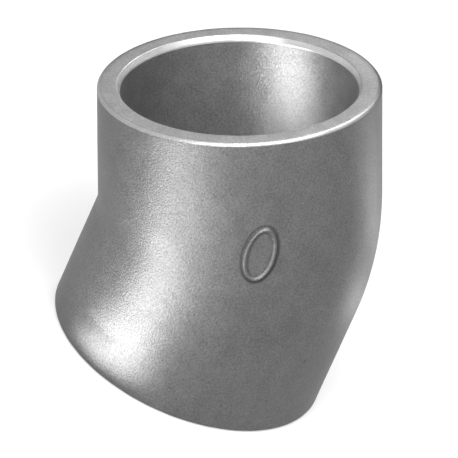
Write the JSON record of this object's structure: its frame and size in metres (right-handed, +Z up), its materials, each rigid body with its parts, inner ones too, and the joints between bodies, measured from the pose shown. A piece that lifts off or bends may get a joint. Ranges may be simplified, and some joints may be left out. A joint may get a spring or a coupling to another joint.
{
  "type": "ductile iron pipe bend",
  "caption": "Short plain-ended pipe bend in ductile iron: a thick round tube turning gently between straight spigots, with rounded rims, chamfered mouths and a blank oval pad.",
  "frame": {"origin": "centre of the lower end face, on the axis of the lower spigot", "axes": "+Z up the lower spigot; the bend lies in the XZ plane and the upper spigot leans 22.5 degrees from +Z towards -X; the oval pad is on the -Y side"},
  "size_m": [0.114, 0.098, 0.1198],
  "materials": {
    "cast_iron": "fine sand-cast skin, satin grey, with smoother ground end faces"
  },
  "bodies": {
    "root": {"bend": "cast_iron"}
  },
  "joints": []
}
